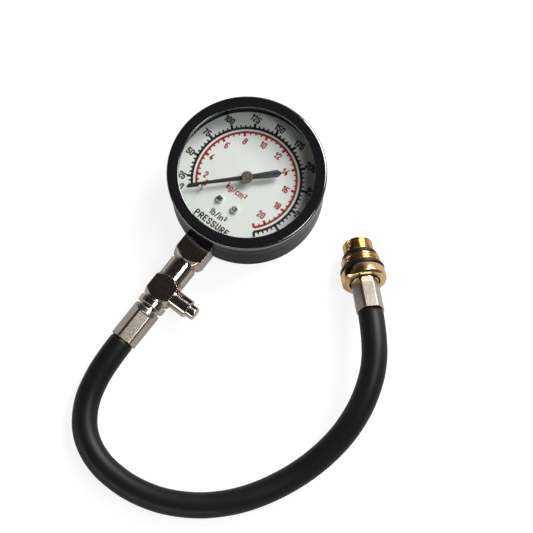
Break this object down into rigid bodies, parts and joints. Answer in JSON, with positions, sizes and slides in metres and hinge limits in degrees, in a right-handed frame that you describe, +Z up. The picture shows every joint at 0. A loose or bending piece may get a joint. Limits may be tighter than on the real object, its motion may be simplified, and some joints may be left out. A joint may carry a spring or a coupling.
{
  "type": "compression tester gauge",
  "caption": "Round dial gauge with its pressure movement, a tee with a push release valve, a short rubber hose and a stepped brass plug adapter with O-rings.",
  "frame": {"origin": "centre of the gauge's flat back, on the surface it lies on", "axes": "+Z up through the dial, +Y to the top of the dial, the stem leaves along -Y"},
  "size_m": [0.1473, 0.1851, 0.032],
  "materials": {
    "black_enamel": "gloss black stove enamel",
    "bezel_enamel": "satin black enamel",
    "window": "clear moulded window",
    "black_rubber": "black nitrile",
    "dial_white": "matt white dial enamel with printed scales",
    "nickel_screws": "nickel-plated small screws",
    "nickel_plate": "bright nickel plate",
    "ferrule_plate": "plated and crimped steel",
    "steel": "turned steel",
    "movement_brass": "stamped brass",
    "tube_bronze": "drawn phosphor bronze",
    "spring_steel": "tempered spring wire",
    "pointer_black": "matt black lacquer",
    "adapter_brass": "turned brass",
    "hose_rubber": "smooth black extruded rubber",
    "blackened_steel": "oil-blackened screws"
  },
  "bodies": {
    "gauge": {"case_shell": "black_enamel", "bezel_ring": "bezel_enamel", "lens": "window", "lens_gasket": "black_rubber", "dial_plate": "dial_white", "dial_screws": "nickel_screws", "stop_pin": "nickel_screws", "socket": "nickel_plate", "socket_screws": "blackened_steel", "bourdon_tube": "tube_bronze", "movement_back_plate": "movement_brass", "movement_front_plate": "movement_brass", "movement_pillars": "movement_brass", "movement_screws": "steel", "plate_screws": "steel", "hairspring": "spring_steel", "hairspring_stud": "movement_brass", "tee_body": "nickel_plate", "release_barrel": "nickel_plate", "release_spring": "spring_steel", "gauge_hose_nipple": "steel", "gauge_ferrule": "ferrule_plate", "hose": "hose_rubber", "adapter_hose_nipple": "steel", "adapter_ferrule": "ferrule_plate", "adapter_body": "adapter_brass", "small_o_ring": "black_rubber", "large_o_ring": "black_rubber", "valve_core_body": "adapter_brass", "valve_core_spring": "spring_steel"},
    "sector": {"sector_gear": "movement_brass", "sector_arbor": "steel", "link_screw": "steel"},
    "pointer": {"pinion": "movement_brass", "hairspring_collet": "movement_brass", "pointer_blade": "pointer_black", "pointer_hub": "pointer_black"},
    "tube_tip": {"tube_end_piece": "movement_brass", "tip_pin": "steel"},
    "link": {"link_bar": "movement_brass"},
    "release": {"release_button": "nickel_plate", "release_seal": "black_rubber"},
    "valve_pin": {"valve_core_pin": "steel", "valve_core_seal": "black_rubber"}
  },
  "joints": [
    {"name": "sector_turn", "type": "hinge", "parent": "gauge", "child": "sector", "pos_m": [0, -0.015, 0.015], "axis": [0, 0, 1], "range_deg": [0, 30], "stiffness_Nm_per_rad": 0.002},
    {"name": "pointer_turn", "type": "hinge", "parent": "gauge", "child": "pointer", "pos_m": [0, 0, 0.02], "axis": [0, 0, 1], "range_deg": [-270, 0], "deforming": ["hairspring"]},
    {"name": "tube_tip_flex", "type": "hinge", "parent": "gauge", "child": "tube_tip", "pos_m": [-0.00375, 0.0065, 0.008], "axis": [0, 0, 1], "range_deg": [0, 6.4], "deforming": ["bourdon_tube"]},
    {"name": "link_swing", "type": "hinge", "parent": "tube_tip", "child": "link", "pos_m": [0.02159, -0.01603, 0.0155], "axis": [0, 0, 1], "range_deg": [0, 1.2]},
    {"name": "release_press", "type": "slide", "parent": "gauge", "child": "release", "axis": [-1, 0, 0], "range_m": [0, 0.0015], "stiffness_N_per_m": 1500, "springref_m": -0.001, "deforming": ["release_spring"]},
    {"name": "valve_open", "type": "slide", "parent": "gauge", "child": "valve_pin", "axis": [0.6645, -0.6645, 0.342], "range_m": [0, 0.0012], "stiffness_N_per_m": 500, "springref_m": -0.001, "deforming": ["valve_core_spring"]}
  ],
  "couplings": [
    {"joint": "pointer_turn", "follows": "sector_turn", "ratio": -9},
    {"joint": "tube_tip_flex", "follows": "sector_turn", "ratio": 0.20926},
    {"joint": "link_swing", "follows": "sector_turn", "ratio": 0.03443}
  ]
}
